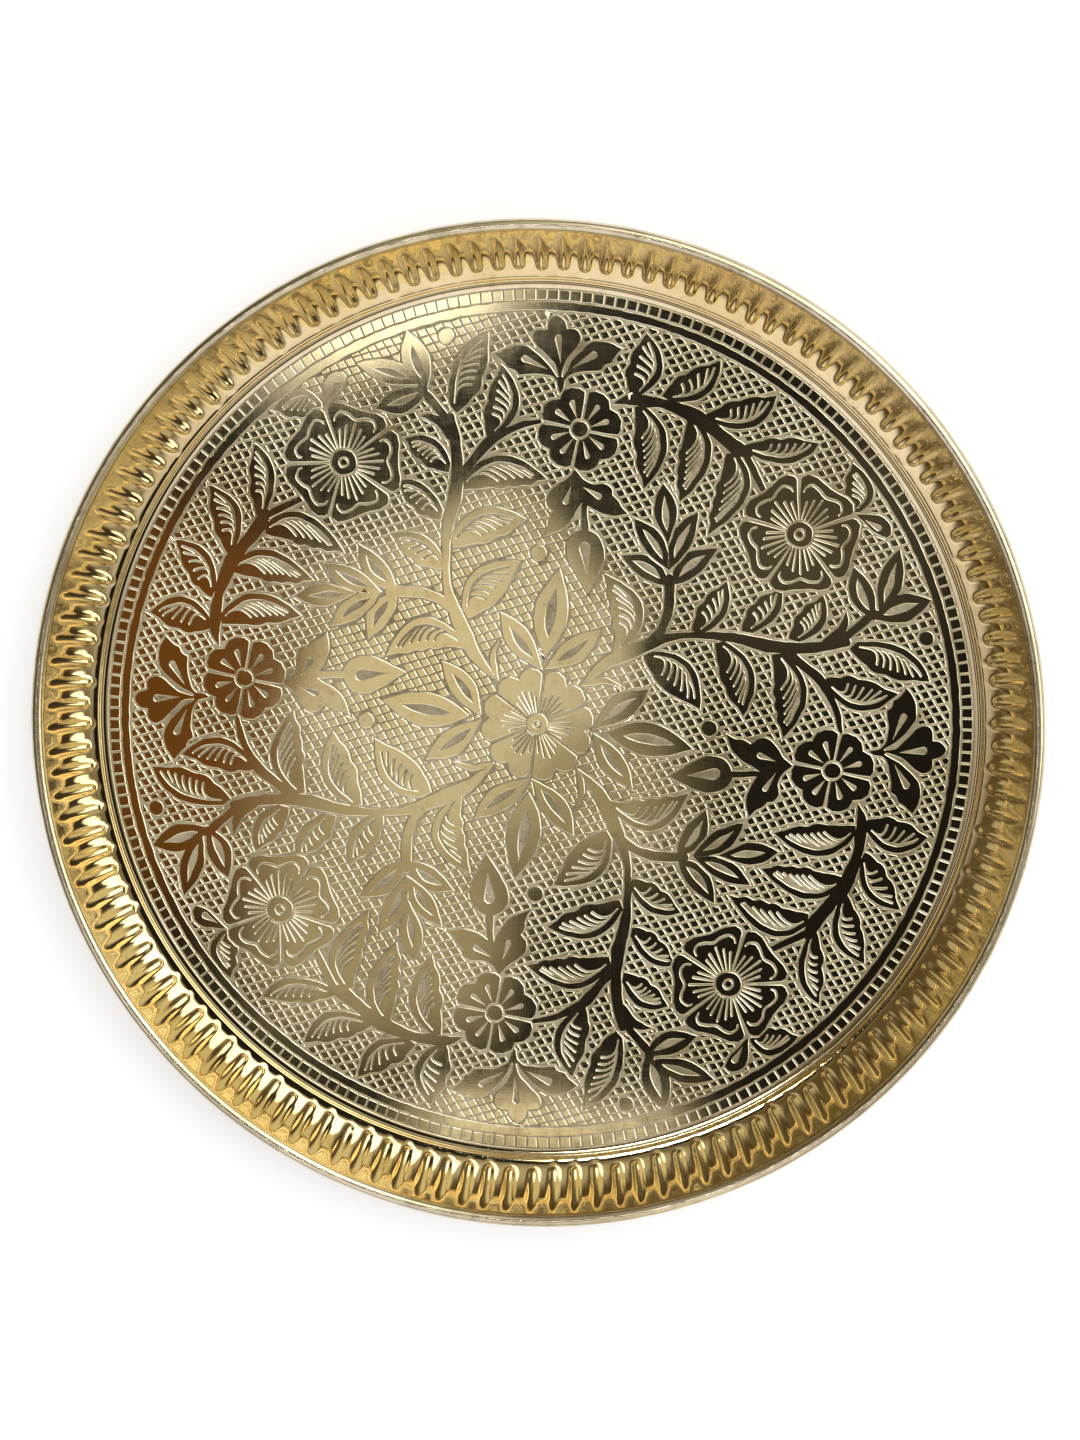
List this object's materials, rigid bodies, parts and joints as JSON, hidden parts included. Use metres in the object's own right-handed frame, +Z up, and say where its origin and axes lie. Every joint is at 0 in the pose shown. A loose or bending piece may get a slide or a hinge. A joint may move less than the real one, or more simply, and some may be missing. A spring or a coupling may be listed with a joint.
{
  "type": "round serving tray",
  "caption": "Round shallow brass serving tray with an etched flat floor, a ribbed curved wall and an edge rolled round a wire.",
  "frame": {"origin": "centre of the tray, on the table it stands on", "axes": "+Z up out of the tray's open side along its axis; X and Y lie in the table, the pattern repeats every quarter turn"},
  "size_m": [0.3498, 0.3498, 0.0181],
  "materials": {
    "shell": "polished on the raised pattern, matte where it is etched away",
    "wire": "drawn wire, bare"
  },
  "bodies": {
    "root": {"tray_shell": "shell", "edge_wire": "wire"}
  },
  "joints": []
}
